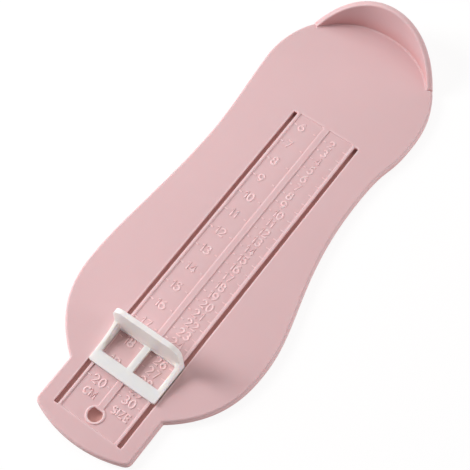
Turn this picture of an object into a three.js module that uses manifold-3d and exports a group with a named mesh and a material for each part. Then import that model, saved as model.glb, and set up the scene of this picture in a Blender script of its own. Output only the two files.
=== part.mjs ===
// Child's foot gauge: a shallow moulded plate in the outline of a sole, with a heel stop at one end
// and a toe stop that slides along the scale. The toe stop's legs pass down through two slots and
// snap into a keeper under the plate.
//
// Millimetres, +Z up, standing on the skirt at z = 0. Sizes along the foot (y) are counted from the
// scale's zero, the inner face of the heel stop, towards the toe. Sizes across it (x) are counted
// from the middle of the scale, towards the centimetre figures.

import * as THREE from 'three';
import { mergeVertices } from 'three/addons/utils/BufferGeometryUtils.js';
import Module from 'manifold-3d';

const wasm = await Module();
wasm.setup();

// Scale marks: centimetres on one side, and sizes at half that pitch on the other
const centimetre = 10;
const marksPerCentimetre = 2;
const firstMark = 60;
const lastMark = 200;
const tickWidth = 0.6;
const tickHeight = 0.3;
const rimTickLength = 1.7;
const ribTickLength = 1.2;
const ribTickGap = 0.7;

// Slots and scale field
const slotOffset = 15.5;
const slotWidth = 2;
const slotLead = 4;
const slotOverrun = 16.7;
const slotHeelEnd = firstMark - slotLead;
const slotToeEnd = lastMark + slotOverrun;
const slotEndSteps = 6;
const rimWidth = 1.1;
const fieldDepth = 0.5;
const fieldMargin = 1;
const ribWidth = 2.9;

// Hanging hole in the tail: round, with a flat towards the rib
const hangingHoleFromSlotEnd = 4.7;
const hangingHoleAt = slotToeEnd - hangingHoleFromSlotEnd;
const hangingHoleRadius = 3;
const hangingHoleFlat = 2.3;
const hangingRingWidth = 1.2;
const hangingHoleSteps = 32;

// Tail, the handle past the toes
const tailHalfWidth = 23.2;
const tailMargin = 3.6;
const tailLength = 21.3;
const tailCrown = 5;
const tailCornerRound = 2.2;
const tailSideEnd = slotToeEnd + tailMargin;
const tailStart = tailSideEnd - tailLength;
const tailTip = tailSideEnd + tailCrown;

// Sole outline. At its heel, waist and ball, on each side, the edge runs along the foot, and it
// keeps nearly straight for the stated lengths before and after. At the back of the heel it runs
// across the foot in the same way.
const heelMiddle = 4.8;
const heelTowardsOuter = 21.5;
const heelTowardsArch = 23.4;
const outerHeelX = 43.2;
const outerHeelY = 36.5;
const outerHeelBefore = 22.8;
const outerHeelAfter = 6;
const outerWaistX = 39.8;
const outerWaistY = 82;
const outerWaistBefore = 13;
const outerWaistAfter = 30;
const outerBallX = 44.6;
const outerBallY = 156;
const outerBallBefore = 20;
const outerBallAfter = 16;
const archHeelX = -33.8;
const archHeelY = 38.3;
const archHeelBefore = 24.1;
const archHeelAfter = 21;
const archWaistX = -29.9;
const archWaistY = 78;
const archWaistBefore = 27;
const archWaistAfter = 40;
const archBallX = -42.9;
const archBallY = 158;
const archBallBefore = 23;
const archBallAfter = 11;
const toeSlopeAcross = 18.5;
const toeSlopeAlong = 14;
const outlineSteps = 18;
const samePoint = 0.01;

// Plate
const plateTop = 3.6;
const plateWall = 1.6;
const skirtWidth = 2;
const shoulderRound = 1.1;
const shoulderSteps = 4;

// Heel stop
const heelStopWall = 2.6;
const heelStopHeight = 18.7;
const heelStopRadius = 37;
const heelStopHalfAngle = THREE.MathUtils.degToRad(51.8);
const heelStopReach = heelStopHalfAngle + THREE.MathUtils.degToRad(14);
const heelStopEndHeight = 0.35;
const heelStopRimRound = 1;

// Toe stop: a frame that rides on the plate, with a wall that the toes touch.
// Its sizes along the foot are counted from the wall's face towards the heel.
const toeStopReading = 176;
const runningGap = 0.3;
const frameBesideSlot = 0.5;
const frameHalfWidth = slotOffset + frameBesideSlot;
const frameLength = 19.6;
const frameThickness = 1.5;
const sideBarWidth = 2;
const rearBarDepth = 3;
const frontBarDepth = 5.5;
const frameEdgeRound = 0.35;
const toeWallThickness = 2.2;
const toeWallTop = 21.6;
const toeWallCornerRound = 5;
const gussetThickness = 1.5;
const gussetRise = 5.4;
const gussetRun = 13.5;
const gussetHollowRun = 0.8;
const gussetHollowRise = 2.1;
const roundSteps = 6;

// Legs, their snap barbs and the keeper
const legThickness = 1.1;
const legLength = 5;
const rearLegStart = 0.8;
const frontLegStart = 10.4;
const legStarts = [rearLegStart, frontLegStart];
const barbReach = 0.7;
const barbDepth = 0.5;
const snapGap = 0.1;
const keeperThickness = 0.9;
const keeperEdge = 2.4;
const keeperWindowGap = 0.2;
const floorLevel = 0;
const overlap = 0.4;

// Colours
const dustyPink = 0xe3b9bd;
const warmWhite = 0xf0efea;

// Solids and geometry

function solidOf(geometry) {
  geometry.deleteAttribute('normal');
  geometry.deleteAttribute('uv');
  const merged = mergeVertices(geometry, 1e-4);
  const mesh = new wasm.Mesh({
    numProp: 3,
    vertProperties: merged.attributes.position.array,
    triVerts: Uint32Array.from(merged.index.array),
  });
  return new wasm.Manifold(mesh);
}

function geometryOf(solid) {
  const { vertProperties, triVerts } = solid.getMesh();
  const geometry = new THREE.BufferGeometry();
  geometry.setAttribute('position', new THREE.BufferAttribute(vertProperties, 3));
  geometry.setIndex(new THREE.BufferAttribute(triVerts, 1));
  geometry.computeVertexNormals();
  return geometry;
}

function block(xFrom, xTo, yFrom, yTo, zFrom, zTo) {
  const geometry = new THREE.BoxGeometry(xTo - xFrom, yTo - yFrom, zTo - zFrom);
  geometry.translate((xFrom + xTo) / 2, (yFrom + yTo) / 2, (zFrom + zTo) / 2);
  return solidOf(geometry);
}

function prism(shape, zFrom, zTo, curveSegments = roundSteps) {
  const options = { depth: zTo - zFrom, bevelEnabled: false, curveSegments };
  const geometry = new THREE.ExtrudeGeometry(shape, options);
  geometry.translate(0, 0, zFrom);
  return solidOf(geometry);
}

// An extrusion between two levels whose outer edges are rounded over at both ends
function roundedExtrusion(shape, zFrom, zTo, round, steps) {
  const geometry = new THREE.ExtrudeGeometry(shape, {
    depth: zTo - zFrom - 2 * round,
    bevelEnabled: true,
    bevelThickness: round,
    bevelSize: round,
    bevelOffset: -round,
    bevelSegments: steps,
    curveSegments: roundSteps,
  });
  geometry.translate(0, 0, zFrom + round);
  return geometry;
}

function rectangle(xFrom, xTo, yFrom, yTo) {
  const corners = [[xFrom, yFrom], [xTo, yFrom], [xTo, yTo], [xFrom, yTo]];
  return new THREE.Shape(corners.map(([x, y]) => new THREE.Vector2(x, y)));
}

// The same closed outline, moved inwards by a wall's thickness
function insetOutline(points, distance) {
  return points.map((point, index) => {
    const before = points[(index + points.length - 1) % points.length];
    const after = points[(index + 1) % points.length];
    const arriving = point.clone().sub(before).normalize();
    const leaving = after.clone().sub(point).normalize();
    const inwards = new THREE.Vector2(-arriving.y - leaving.y, arriving.x + leaving.x).normalize();
    const spread = inwards.x * -leaving.y + inwards.y * leaving.x;
    return point.clone().addScaledVector(inwards, distance / spread);
  });
}

function soleOutline() {
  const heelBack = -heelStopWall;
  const endRadius = (tailHalfWidth ** 2 + tailCrown ** 2) / (2 * tailCrown);
  const endCentre = tailTip - endRadius;
  const cornerX = tailHalfWidth - tailCornerRound;
  const endAngle = Math.asin(cornerX / endRadius);
  const cornerY = endCentre + endRadius * Math.cos(endAngle);

  const shape = new THREE.Shape();
  shape.moveTo(heelMiddle, heelBack);
  shape.bezierCurveTo(
    heelMiddle + heelTowardsOuter, heelBack,
    outerHeelX, outerHeelY - outerHeelBefore,
    outerHeelX, outerHeelY,
  );
  shape.bezierCurveTo(
    outerHeelX, outerHeelY + outerHeelAfter,
    outerWaistX, outerWaistY - outerWaistBefore,
    outerWaistX, outerWaistY,
  );
  shape.bezierCurveTo(
    outerWaistX, outerWaistY + outerWaistAfter,
    outerBallX, outerBallY - outerBallBefore,
    outerBallX, outerBallY,
  );
  shape.bezierCurveTo(
    outerBallX, outerBallY + outerBallAfter,
    tailHalfWidth + toeSlopeAcross, tailStart - toeSlopeAlong,
    tailHalfWidth, tailStart,
  );
  shape.lineTo(tailHalfWidth, tailSideEnd - tailCornerRound);
  shape.quadraticCurveTo(tailHalfWidth, tailSideEnd, cornerX, cornerY);
  shape.absarc(0, endCentre, endRadius, Math.PI / 2 - endAngle, Math.PI / 2 + endAngle, false);
  shape.quadraticCurveTo(-tailHalfWidth, tailSideEnd, -tailHalfWidth, tailSideEnd - tailCornerRound);
  shape.lineTo(-tailHalfWidth, tailStart);
  shape.bezierCurveTo(
    -tailHalfWidth - toeSlopeAcross, tailStart - toeSlopeAlong,
    archBallX, archBallY + archBallAfter,
    archBallX, archBallY,
  );
  shape.bezierCurveTo(
    archBallX, archBallY - archBallBefore,
    archWaistX, archWaistY + archWaistAfter,
    archWaistX, archWaistY,
  );
  shape.bezierCurveTo(
    archWaistX, archWaistY - archWaistBefore,
    archHeelX, archHeelY + archHeelAfter,
    archHeelX, archHeelY,
  );
  shape.bezierCurveTo(
    archHeelX, archHeelY - archHeelBefore,
    heelMiddle - heelTowardsArch, heelBack,
    heelMiddle, heelBack,
  );
  const points = shape.getPoints(outlineSteps);
  return points.filter((point, index) => point.distanceTo(points.at(index - 1)) > samePoint);
}

// Foot plate

function plateShell(outline) {
  const belowFloor = floorLevel - 2 * shoulderRound;
  const slab = roundedExtrusion(new THREE.Shape(outline), belowFloor, plateTop, shoulderRound, shoulderSteps);
  const hollow = prism(new THREE.Shape(insetOutline(outline, skirtWidth)), belowFloor, plateTop - plateWall);
  return aboveFloor(solidOf(slab)).subtract(hollow);
}

function aboveFloor(solid) {
  const reach = 2 * tailTip;
  return solid.subtract(block(-reach, reach, -reach, reach, -reach, floorLevel));
}

// Angle round the heel, 0 at its back
function heelAngle(x, y) {
  return Math.atan2(x - heelMiddle, heelStopRadius - y);
}

// The heel stop follows the outline. Its rim stays level across the wall and falls away with the
// angle round the heel, as if a slanting plane had cut the inner face.
function heelStop(outline) {
  const inner = insetOutline(outline, heelStopWall);
  const angles = outline.map((point) => heelAngle(point.x, point.y));
  const order = [...outline.keys()].filter((index) => Math.abs(angles[index]) < heelStopReach);
  order.sort((a, b) => angles[a] - angles[b]);
  const outside = order.map((index) => outline[index]);
  const inside = order.map((index) => inner[index]).reverse();
  const rimAtBack = plateTop + heelStopHeight;
  const fallAtEnds = heelStopHeight - heelStopEndHeight;
  const fullFall = fallAtEnds / (1 - Math.cos(heelStopHalfAngle));
  const band = new THREE.Shape([...outside, ...inside]);
  const geometry = roundedExtrusion(band, -rimAtBack, rimAtBack, heelStopRimRound, shoulderSteps);
  const position = geometry.attributes.position;
  for (let index = 0; index < position.count; index += 1) {
    const angle = heelAngle(position.getX(index), position.getY(index));
    const fall = fullFall * (1 - Math.cos(angle));
    position.setZ(index, position.getZ(index) - fall);
  }
  const farSide = 2 * heelStopRadius * Math.tan(heelStopHalfAngle);
  const wedge = new THREE.Shape([
    new THREE.Vector2(heelMiddle, heelStopRadius),
    new THREE.Vector2(heelMiddle - farSide, -heelStopRadius),
    new THREE.Vector2(heelMiddle + farSide, -heelStopRadius),
  ]);
  return solidOf(geometry).intersect(prism(wedge, floorLevel, 2 * rimAtBack));
}

function slot(side) {
  const radius = slotWidth / 2;
  const x = side * slotOffset;
  const shape = new THREE.Shape();
  shape.absarc(x, slotHeelEnd + radius, radius, Math.PI, 2 * Math.PI, false);
  shape.absarc(x, slotToeEnd - radius, radius, 0, Math.PI, false);
  shape.closePath();
  return prism(shape, floorLevel, plateTop + overlap, slotEndSteps);
}

const fieldHalfWidth = slotOffset - slotWidth / 2 - rimWidth;
const fieldFloor = plateTop - fieldDepth;
const fieldStart = slotHeelEnd - fieldMargin;
const fieldEnd = slotToeEnd + fieldMargin;

function scaleField() {
  return block(-fieldHalfWidth, fieldHalfWidth, fieldStart, fieldEnd, fieldFloor, plateTop + overlap);
}

function tick(xFrom, xTo, y) {
  const half = tickWidth / 2;
  return block(xFrom, xTo, y - half, y + half, fieldFloor - overlap, fieldFloor + tickHeight);
}

// One row of ticks at the rim and one at the rib, on one side of the scale
function tickRows(side, marksPerStep) {
  const rimEnds = [fieldHalfWidth - rimTickLength, fieldHalfWidth + overlap];
  const ribStart = ribWidth / 2 + ribTickGap;
  const ribEnds = [ribStart, ribStart + ribTickLength];
  const pitch = centimetre / marksPerStep;
  const spans = Math.round((lastMark - firstMark) / pitch);
  const ticks = [];
  for (let mark = 0; mark <= spans; mark += 1) {
    const y = firstMark + mark * pitch;
    for (const [near, far] of [rimEnds, ribEnds]) {
      const ends = [side * near, side * far].sort((a, b) => a - b);
      ticks.push(tick(ends[0], ends[1], y));
    }
  }
  return ticks;
}

function centreRib() {
  const half = ribWidth / 2;
  return block(-half, half, fieldStart - overlap, hangingHoleAt, fieldFloor - overlap, plateTop);
}

function disc(radius, zFrom, zTo) {
  const shape = new THREE.Shape();
  shape.absarc(0, hangingHoleAt, radius, 0, 2 * Math.PI, false);
  return prism(shape, zFrom, zTo, hangingHoleSteps / 2);
}

function hangingHole() {
  const flatSide = hangingHoleAt - hangingHoleFlat;
  const through = disc(hangingHoleRadius, floorLevel, plateTop + overlap);
  const land = block(
    -hangingHoleRadius, hangingHoleRadius,
    hangingHoleAt - hangingHoleRadius - overlap, flatSide,
    floorLevel - overlap, plateTop + 2 * overlap,
  );
  return through.subtract(land);
}

function footPlate(outline) {
  const ring = disc(hangingHoleRadius + hangingRingWidth, fieldFloor - overlap, plateTop);
  let plate = plateShell(outline).add(heelStop(outline));
  plate = plate.subtract(scaleField()).add(centreRib()).add(ring);
  for (const mark of [...tickRows(1, 1), ...tickRows(-1, marksPerCentimetre)]) {
    plate = plate.add(mark);
  }
  for (const side of [-1, 1]) {
    plate = plate.subtract(slot(side));
  }
  return plate.subtract(hangingHole());
}

// Toe stop and keeper, counted along the foot from the face that the toes touch

const frameBottom = plateTop + runningGap;
const frameTop = frameBottom + frameThickness;
const keeperTop = plateTop - plateWall - runningGap;
const keeperBottom = keeperTop - keeperThickness;

function toeStopFrame() {
  const outside = rectangle(-frameHalfWidth, frameHalfWidth, 0, frameLength);
  const windowEnd = frameLength - frontBarDepth;
  const windowFar = frameHalfWidth - sideBarWidth;
  const windowNear = ribWidth / 2;
  let frame = solidOf(roundedExtrusion(outside, frameBottom, frameTop, frameEdgeRound, 2));
  for (const [xFrom, xTo] of [[windowNear, windowFar], [-windowFar, -windowNear]]) {
    frame = frame.subtract(block(xFrom, xTo, rearBarDepth, windowEnd, floorLevel, frameTop + overlap));
  }
  return frame;
}

function toeWall() {
  const half = frameHalfWidth;
  const shoulder = half - toeWallCornerRound;
  const top = toeWallTop;
  const shape = new THREE.Shape();
  shape.moveTo(half, frameBottom);
  shape.lineTo(half, top - toeWallCornerRound);
  shape.absarc(shoulder, top - toeWallCornerRound, toeWallCornerRound, 0, Math.PI / 2, false);
  shape.absarc(-shoulder, top - toeWallCornerRound, toeWallCornerRound, Math.PI / 2, Math.PI, false);
  shape.lineTo(-half, frameBottom);
  shape.closePath();
  const geometry = roundedExtrusion(shape, -toeWallThickness, 0, frameEdgeRound, 2);
  geometry.rotateX(Math.PI / 2);
  return solidOf(geometry);
}

// A thin web in the corner between the wall and a side bar, with a hollow curve along its top that
// drops steeply from the wall and dies away along the bar
function gusset(side) {
  const back = toeWallThickness;
  const hollowY = back + gussetHollowRun;
  const hollowZ = frameTop + gussetHollowRise;
  const shape = new THREE.Shape();
  shape.moveTo(back - overlap, frameBottom + overlap);
  shape.lineTo(back + gussetRun, frameBottom + overlap);
  shape.lineTo(back + gussetRun, frameTop);
  shape.quadraticCurveTo(hollowY, hollowZ, back, frameTop + gussetRise);
  shape.lineTo(back - overlap, frameTop + gussetRise);
  shape.closePath();
  const options = { depth: gussetThickness, bevelEnabled: false, curveSegments: roundSteps };
  const geometry = new THREE.ExtrudeGeometry(shape, options);
  geometry.rotateX(Math.PI / 2);
  geometry.rotateZ(Math.PI / 2);
  const outerFace = frameHalfWidth - frameEdgeRound;
  geometry.translate(side > 0 ? outerFace - gussetThickness : -outerFace, 0, 0);
  return solidOf(geometry);
}

// A leg goes down through its slot and the keeper, and its barb reaches out under the keeper
function leg(side, start) {
  const near = slotOffset - legThickness / 2;
  const far = slotOffset + legThickness / 2;
  const barbTop = keeperBottom - snapGap;
  const barbBottom = barbTop - barbDepth;
  const shape = new THREE.Shape([
    new THREE.Vector2(near, frameBottom + overlap),
    new THREE.Vector2(near, barbBottom),
    new THREE.Vector2(far, barbBottom),
    new THREE.Vector2(far + barbReach, barbTop - barbDepth / 3),
    new THREE.Vector2(far + barbReach, barbTop),
    new THREE.Vector2(far, barbTop),
    new THREE.Vector2(far, frameBottom + overlap),
  ]);
  const geometry = new THREE.ExtrudeGeometry(shape, { depth: legLength, bevelEnabled: false });
  geometry.rotateX(Math.PI / 2);
  geometry.translate(0, start + legLength, 0);
  const solid = solidOf(geometry);
  return side > 0 ? solid : solid.mirror([1, 0, 0]);
}

function toeStop() {
  let slider = toeStopFrame().add(toeWall());
  for (const side of [-1, 1]) {
    slider = slider.add(gusset(side));
    for (const start of legStarts) {
      slider = slider.add(leg(side, start));
    }
  }
  return slider;
}

function keeper() {
  const legHalf = legThickness / 2 + keeperWindowGap;
  const halfWidth = slotOffset + legHalf + keeperEdge;
  const first = Math.min(...legStarts) - keeperWindowGap;
  const last = Math.max(...legStarts) + legLength + keeperWindowGap;
  const rim = keeperEdge / 2;
  const outside = rectangle(-halfWidth, halfWidth, first - rim, last + rim);
  let plate = solidOf(roundedExtrusion(outside, keeperBottom, keeperTop, snapGap, 1));
  for (const x of [-slotOffset, slotOffset]) {
    for (const start of legStarts) {
      const from = start - keeperWindowGap;
      const to = start + legLength + keeperWindowGap;
      plate = plate.subtract(block(x - legHalf, x + legHalf, from, to, floorLevel, plateTop));
    }
  }
  return plate;
}

// Assembly

const outline = soleOutline();
const pinkPlastic = new THREE.MeshStandardMaterial({ color: dustyPink, roughness: 0.5, metalness: 0 });
const whitePlastic = new THREE.MeshStandardMaterial({ color: warmWhite, roughness: 0.4, metalness: 0 });

function piece(name, solid, material) {
  const mesh = new THREE.Mesh(geometryOf(solid), material);
  mesh.name = name;
  return mesh;
}

const slider = new THREE.Group();
slider.position.set(0, toeStopReading, 0);
slider.add(piece('toe_stop_slider', toeStop(), whitePlastic));
slider.add(piece('slider_keeper', keeper(), whitePlastic));

// The finished part's origin is the middle of its footprint on the surface it stands on
const footprint = new THREE.Box2().setFromPoints(outline);
const middle = footprint.getCenter(new THREE.Vector2());
const gauge = new THREE.Group();
gauge.position.set(-middle.x, -middle.y, -floorLevel);
gauge.add(piece('foot_plate', footPlate(outline), pinkPlastic));
gauge.add(slider);

const model = new THREE.Group();
model.add(gauge);

export default model;
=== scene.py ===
import math

import bmesh
import bpy
from mathutils import Matrix, Vector
from mathutils.geometry import delaunay_2d_cdt


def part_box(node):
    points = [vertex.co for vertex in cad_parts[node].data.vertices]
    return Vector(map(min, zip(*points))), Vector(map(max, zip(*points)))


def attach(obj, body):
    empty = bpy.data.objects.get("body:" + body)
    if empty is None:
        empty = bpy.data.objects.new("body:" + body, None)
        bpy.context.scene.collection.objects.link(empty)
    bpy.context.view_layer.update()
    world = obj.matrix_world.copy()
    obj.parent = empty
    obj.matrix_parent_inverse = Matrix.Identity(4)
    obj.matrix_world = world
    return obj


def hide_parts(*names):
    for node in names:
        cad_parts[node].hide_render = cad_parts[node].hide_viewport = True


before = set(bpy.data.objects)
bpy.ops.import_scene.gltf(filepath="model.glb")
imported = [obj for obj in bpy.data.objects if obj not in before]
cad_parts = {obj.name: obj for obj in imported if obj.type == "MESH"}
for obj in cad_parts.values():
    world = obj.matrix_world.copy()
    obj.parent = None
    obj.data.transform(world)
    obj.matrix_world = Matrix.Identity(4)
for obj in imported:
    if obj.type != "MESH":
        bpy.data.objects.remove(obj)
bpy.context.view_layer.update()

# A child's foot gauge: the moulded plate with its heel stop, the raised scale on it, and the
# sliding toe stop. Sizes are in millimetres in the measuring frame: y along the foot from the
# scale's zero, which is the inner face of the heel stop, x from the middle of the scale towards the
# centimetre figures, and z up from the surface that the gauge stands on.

MILLIMETRE = 0.001

# Places taken from the frame
plate_low, plate_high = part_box("foot_plate")
slider_low, slider_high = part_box("toe_stop_slider")
keeper_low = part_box("slider_keeper")[0]
HEEL_STOP_WALL = 2.6
scale_middle = (slider_low.x + slider_high.x) / 2
scale_zero = plate_low.y + HEEL_STOP_WALL * MILLIMETRE
TOE_FACE = (slider_low.y - scale_zero) / MILLIMETRE
RIM_AT_BACK = plate_high.z / MILLIMETRE
TOE_WALL_TOP = slider_high.z / MILLIMETRE
TAIL_TIP = (plate_high.y - scale_zero) / MILLIMETRE

# Plate
PLATE_TOP = 3.6
PLATE_WALL = 1.6
SKIRT_WIDTH = 2.0
SKIRT_EDGE_ROUND = 0.25
SKIRT_SIDE_START = 1.2
SHOULDER_ROUND = 1.1
OUTLINE_STEP = 1.0

# Tail, the handle past the toes
TAIL_HALF_WIDTH = 23.2
TAIL_CROWN = 5.0
TAIL_LENGTH = 21.3
TAIL_CORNER_ROUND = 2.2
TAIL_SIDE_END = TAIL_TIP - TAIL_CROWN
TAIL_START = TAIL_SIDE_END - TAIL_LENGTH

# Sole outline: where the edge runs along the foot, and how far it keeps nearly straight
HEEL_MIDDLE = 4.8
HEEL_TOWARDS_OUTER = 21.5
HEEL_TOWARDS_ARCH = 23.4
OUTER_HEEL = {"x": 43.2, "y": 36.5, "before": 22.8, "after": 6}
OUTER_WAIST = {"x": 39.8, "y": 82, "before": 13, "after": 30}
OUTER_BALL = {"x": 44.6, "y": 156, "before": 20, "after": 16}
ARCH_HEEL = {"x": -33.8, "y": 38.3, "before": 24.1, "after": 21}
ARCH_WAIST = {"x": -29.9, "y": 78, "before": 27, "after": 40}
ARCH_BALL = {"x": -42.9, "y": 158, "before": 23, "after": 11}
TOE_SLOPE_ACROSS = 18.5
TOE_SLOPE_ALONG = 14

# Heel stop
HEEL_STOP_RADIUS = 37
HEEL_STOP_HALF_ANGLE = math.radians(51.8)
HEEL_STOP_END_HEIGHT = 0.35
HEEL_STOP_END_BLEND = math.radians(0.9)
HEEL_RIM_ROUND = 0.8
HEEL_BASE_FILLET = 0.35
HEEL_BASE_BEAD = {"width": 0.4, "height": 0.15}
LARGEST_ROUND_SHARE = 0.45
LARGEST_BEAD_SHARE = 0.2

# Slots, scale field, rib and hanging hole
SLOT_OFFSET = 15.67
SLOT_WIDTH = 1.7
SLOT_TOE_WIDTH = 1.9
SLOT_WIDENS_AT = 190
SLOT_WIDENED_AT = SLOT_WIDENS_AT + 1.5
SLOT_CORNER = 0.45
SLOT_HEEL_END = 55.2
SLOT_TOE_END = 216.7
FIELD_HALF_WIDTH = 13.4
FIELD_START = SLOT_HEEL_END - 0.5
FIELD_END = SLOT_TOE_END - 0.2
FIELD_FLOOR = PLATE_TOP - 0.5
FIELD_CORNER = 0.6
RIB_WIDTH = 2.9
SLOT_LIP_ROUND = 0.45
FIELD_LIP_ROUND = 0.35
FIELD_FILLET = 0.15
HOLE_AT = SLOT_TOE_END - 4.9
HOLE_RADIUS = 3.0
HOLE_FLAT = 2.3
RING_RADIUS = 4.0
RING_ROUND = 0.5

# Marks and figures on the field
FIRST_CENTIMETRE = 6
LAST_CENTIMETRE = 20
CENTIMETRE = 10.0
FIRST_SIZE = 2
SIZE_PITCH = 5.0
STROKE_HALF_WIDTH = 0.45
STROKE_HEIGHT = 0.3
TICK_HALF_WIDTH = 0.3
TICK_HEIGHT = 0.2
RIM_TICK_LENGTH = 1.7
RIB_TICK_LENGTH = 1.2
RIB_TICK_GAP = 0.7
CENTIMETRE_FIGURE_HEIGHT = 3.6
CENTIMETRE_FIGURE_START = 10.2
SIZE_FIGURE_HEIGHT = 3.4
SIZE_FIGURE_START = -4.95
LABEL_HEIGHT = 3.0
LABEL_AT = 205.8
CENTIMETRE_LABEL_MIDDLE = 7.5
SIZE_LABEL_MIDDLE = -7.9
GLYPH_GAP = 0.3

# Toe stop, counted along the foot from the face that the toes touch
FRAME_HALF_WIDTH = 16.0
FRAME_LENGTH = 19.6
FRAME_BOTTOM = PLATE_TOP + 0.12
FRAME_TOP = PLATE_TOP + 1.8
FRAME_CORNER = 0.7
FLANK_DRAFT = 0.35
SIDE_BAR_WIDTH = 2.0
REAR_BAR_DEPTH = 2.4
FRONT_BAR_DEPTH = 5.5
TOE_WALL_THICKNESS = 2.2
TOE_WALL_CORNER = 5.0
SLIDER_EDGE_ROUND = 0.35
WEB_THICKNESS = 1.1
WEB_RISE = 5.4
WEB_RUN = 13.5
WEB_HOLLOW_RUN = 0.8
WEB_HOLLOW_RISE = 2.1
WEB_WALL_FILLET = 0.9
LEG_OFFSET = 15.5
LEG_THICKNESS = 1.1
LEG_LENGTH = 5.0
LEG_STARTS = (0.8, 10.4)
LEG_TOP = FRAME_BOTTOM + 0.4
BARB_REACH = 0.7
BARB_DEPTH = 0.5
BARB_GAP = 0.1

# Colours, linear
PINK = (0.737, 0.519, 0.532)
# The figures and marks are the plate's plastic, painted lighter than the plate as a painted
# highlight on their raised strokes
FIGURE_PINK_PAINTED_LIGHTER = (0.785, 0.553, 0.563)
WHITE = (0.875, 0.92, 0.885)

# Painted light and shade by openness, with how far around each looks: first a tint in a recess,
# painted shade on the pink and painted bounce light on the white, then a painted highlight at a
# thin edge
RECESS_REACH = 14
EDGE_REACH = 1.05
PINK_PAINTED_SHADE_AND_HIGHLIGHT = (
    (
        (0.1, (0.45, 0.3, 0.29)),
        (0.36, (0.8, 0.58, 0.56)),
        (0.56, (0.99, 0.84, 0.82)),
        (0.72, (1.01, 0.94, 0.93)),
        (0.85, (1, 1, 1)),
    ),
    ((0.5, (1.36, 1.58, 1.58)), (0.97, (1, 1, 1))),
)
FIGURE_PAINTED_SHADE_AND_HIGHLIGHT = (PINK_PAINTED_SHADE_AND_HIGHLIGHT[0], ((0.45, (1.16, 1.22, 1.22)), (0.95, (1, 1, 1))))
WHITE_PAINTED_LIGHT = (
    ((0.1, (1.14, 1.08, 1.04)), (0.5, (1.14, 1.085, 1.05)), (0.9, (1, 1, 1))),
    ((0.45, (1.04, 1.04, 1.04)), (0.9, (1, 1, 1))),
)

# Scales of the plastic's noises, per metre, the change in gloss and the height of the slow waves
CLOUD_SCALE = 22
GLOSS_SCALE = 160
GRAIN_SCALE = 2600
WAVE_SCALE = 90
GLOSS_CHANGE = 0.06
WAVE_HEIGHT = 0.25

# Light that spreads inside the plastic: its share, how red, green and blue reach, and the scale
PINK_GLOW = (0.2, (1.0, 0.35, 0.3), 0.8)
FIGURE_GLOW = (0.2, (1.0, 0.35, 0.3), 0.2)
WHITE_GLOW = (0.9, (1.0, 0.88, 0.75), 3.0)


def place(point):
    """A point of the measuring frame in the row frame, in metres."""
    x, y, z = point
    return Vector((scale_middle + x * MILLIMETRE, scale_zero + y * MILLIMETRE, z * MILLIMETRE))


def add_object(name, mesh):
    obj = bpy.data.objects.new(name, mesh)
    bpy.context.scene.collection.objects.link(obj)
    return obj


def finish_mesh(name, bm, sharp_angle):
    """An object from a bmesh in millimetres, moved to the row frame and shaded smooth."""
    bmesh.ops.remove_doubles(bm, verts=bm.verts, dist=1e-4)
    bmesh.ops.recalc_face_normals(bm, faces=bm.faces)
    for vertex in bm.verts:
        vertex.co = place(vertex.co)
    mesh = bpy.data.meshes.new(name)
    bm.to_mesh(mesh)
    bm.free()
    mesh.shade_smooth()
    mesh.set_sharp_from_angle(angle=sharp_angle)
    obj = add_object(name, mesh)
    weighted = obj.modifiers.new("weighted_normals", "WEIGHTED_NORMAL")
    weighted.keep_sharp = True
    return obj


# Outlines


def bezier(points):
    """A cubic curve as points about OUTLINE_STEP apart, without its last point."""
    p0, p1, p2, p3 = (Vector(p) for p in points)
    length = (p1 - p0).length + (p2 - p1).length + (p3 - p2).length
    count = max(2, math.ceil(length / OUTLINE_STEP))
    curve = []
    for index in range(count):
        t = index / count
        s = 1 - t
        curve.append(p0 * s**3 + p1 * 3 * s * s * t + p2 * 3 * s * t * t + p3 * t**3)
    return curve


def arc(centre_x, centre_y, radius_x, radius_y, start, end, steps):
    """Points on an ellipse between two angles in degrees, both ends included."""
    points = []
    for index in range(steps + 1):
        angle = math.radians(start + (end - start) * index / steps)
        across, along = radius_x * math.cos(angle), radius_y * math.sin(angle)
        points.append(Vector((centre_x + across, centre_y + along)))
    return points


def towards_toe(first, last):
    return bezier([
        (first["x"], first["y"]),
        (first["x"], first["y"] + first["after"]),
        (last["x"], last["y"] - last["before"]),
        (last["x"], last["y"]),
    ])


def towards_heel(first, last):
    return bezier([
        (first["x"], first["y"]),
        (first["x"], first["y"] - first["before"]),
        (last["x"], last["y"] + last["after"]),
        (last["x"], last["y"]),
    ])


def straight(start, end):
    third = (Vector(end) - Vector(start)) / 3
    return bezier([start, Vector(start) + third, Vector(end) - third, end])


def corner(start, middle, end):
    """A rounded corner: a quadratic curve written as a cubic one."""
    start, middle, end = Vector(start), Vector(middle), Vector(end)
    return bezier([start, start.lerp(middle, 2 / 3), end.lerp(middle, 2 / 3), end])


def heel_angle(point):
    """Angle round the heel, 0 at its back."""
    return math.atan2(point.x - HEEL_MIDDLE, HEEL_STOP_RADIUS - point.y)


def refined_at_stop_ends(points):
    """The same outline with short steps where the heel stop ends, so that the ends are crisp."""
    refined = []
    for index, point in enumerate(points):
        after = points[(index + 1) % len(points)]
        refined.append(point)
        middle_angle = abs(heel_angle((point + after) / 2))
        if abs(middle_angle - HEEL_STOP_HALF_ANGLE) < 2 * HEEL_STOP_END_BLEND:
            refined += [point.lerp(after, step / 5) for step in range(1, 5)]
    return refined


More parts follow.
